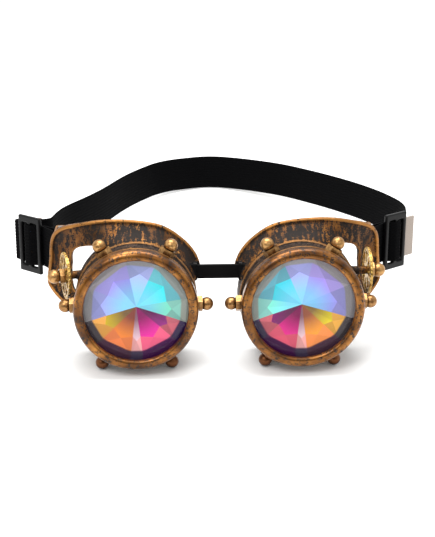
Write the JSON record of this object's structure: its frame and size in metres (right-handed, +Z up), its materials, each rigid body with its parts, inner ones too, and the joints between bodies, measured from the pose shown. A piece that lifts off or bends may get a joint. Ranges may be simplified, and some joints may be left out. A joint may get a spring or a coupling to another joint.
{
  "type": "steampunk goggles",
  "caption": "Round-lens goggles with screwed rings, faceted crystal lenses, ball studs, side wings, rubber nose bridge and an adjustable elastic head strap.",
  "frame": {"origin": "on the table, under the middle of the nose bridge", "axes": "+X to the right as seen from in front, +Y towards the back of the strap, +Z up"},
  "size_m": [0.1982, 0.234, 0.0632],
  "materials": {
    "antique_copper_plastic": "black plastic hand-brushed with antique copper",
    "rainbow_crystal": "cut crystal with a rainbow film",
    "black_rubber": "matte",
    "gilt_studs": "old gold over copper",
    "gilt_filigree": "bright stamped openwork",
    "steel_pin": "drawn wire",
    "black_slide_plastic": "moulded",
    "taupe_tape": "woven tape",
    "black_elastic": "ribbed woven elastic"
  },
  "bodies": {
    "left_cup": {"left_eye_cup": "antique_copper_plastic", "left_face_frame": "antique_copper_plastic", "left_stud_nuts": "gilt_studs", "left_lens_gasket": "black_rubber", "left_filigree_disc": "gilt_filigree", "left_ornament_nut": "gilt_studs", "left_strap_pin": "steel_pin", "left_bridge_pin": "steel_pin", "left_strap_end_tab": "taupe_tape", "nose_bridge": "black_rubber", "strap": "black_elastic"},
    "right_cup": {"right_eye_cup": "antique_copper_plastic", "right_face_frame": "antique_copper_plastic", "right_stud_nuts": "gilt_studs", "right_lens_gasket": "black_rubber", "right_filigree_disc": "gilt_filigree", "right_ornament_nut": "gilt_studs", "right_strap_pin": "steel_pin", "right_bridge_pin": "steel_pin", "right_strap_end_tab": "taupe_tape"},
    "left_lens_pack": {"left_lens": "rainbow_crystal"},
    "left_bezel": {"left_bezel_ring": "antique_copper_plastic"},
    "left_slide": {"left_buckle": "black_slide_plastic"},
    "right_lens_pack": {"right_lens": "rainbow_crystal"},
    "right_bezel": {"right_bezel_ring": "antique_copper_plastic"},
    "right_slide": {"right_buckle": "black_slide_plastic"}
  },
  "joints": [
    {"name": "bridge_flex", "type": "hinge", "parent": "left_cup", "child": "right_cup", "pos_m": [0, 0, 0.04025], "axis": [0, 0.1539, 0.9881], "range_deg": [-8, 30], "stiffness_Nm_per_rad": 0.03, "deforming": ["nose_bridge", "strap"]},
    {"name": "left_lens_lift", "type": "slide", "parent": "left_cup", "child": "left_lens_pack", "axis": [0, -0.9881, 0.1539], "range_m": [0, 0.00341]},
    {"name": "left_bezel_turn", "type": "hinge", "parent": "left_lens_pack", "child": "left_bezel", "pos_m": [-0.037, -0.0226, 0.03163], "axis": [0, -0.9881, 0.1539], "range_deg": [0, 360]},
    {"name": "left_buckle_slide", "type": "slide", "parent": "left_cup", "child": "left_slide", "axis": [-0.7314, 0.6739, -0.105], "range_m": [-0.005, 0.003], "deforming": ["strap"]},
    {"name": "right_lens_lift", "type": "slide", "parent": "right_cup", "child": "right_lens_pack", "axis": [0, -0.9881, 0.1539], "range_m": [0, 0.00341]},
    {"name": "right_bezel_turn", "type": "hinge", "parent": "right_lens_pack", "child": "right_bezel", "pos_m": [0.037, -0.0226, 0.03163], "axis": [0, -0.9881, 0.1539], "range_deg": [0, 360]},
    {"name": "right_buckle_slide", "type": "slide", "parent": "right_cup", "child": "right_slide", "axis": [0.788, 0.6083, -0.0948], "range_m": [-0.005, 0.003], "deforming": ["strap"]}
  ],
  "couplings": [
    {"joint": "left_lens_lift", "follows": "left_bezel_turn", "m_per_rad": 0.00054113},
    {"joint": "right_lens_lift", "follows": "right_bezel_turn", "m_per_rad": 0.00054113}
  ]
}
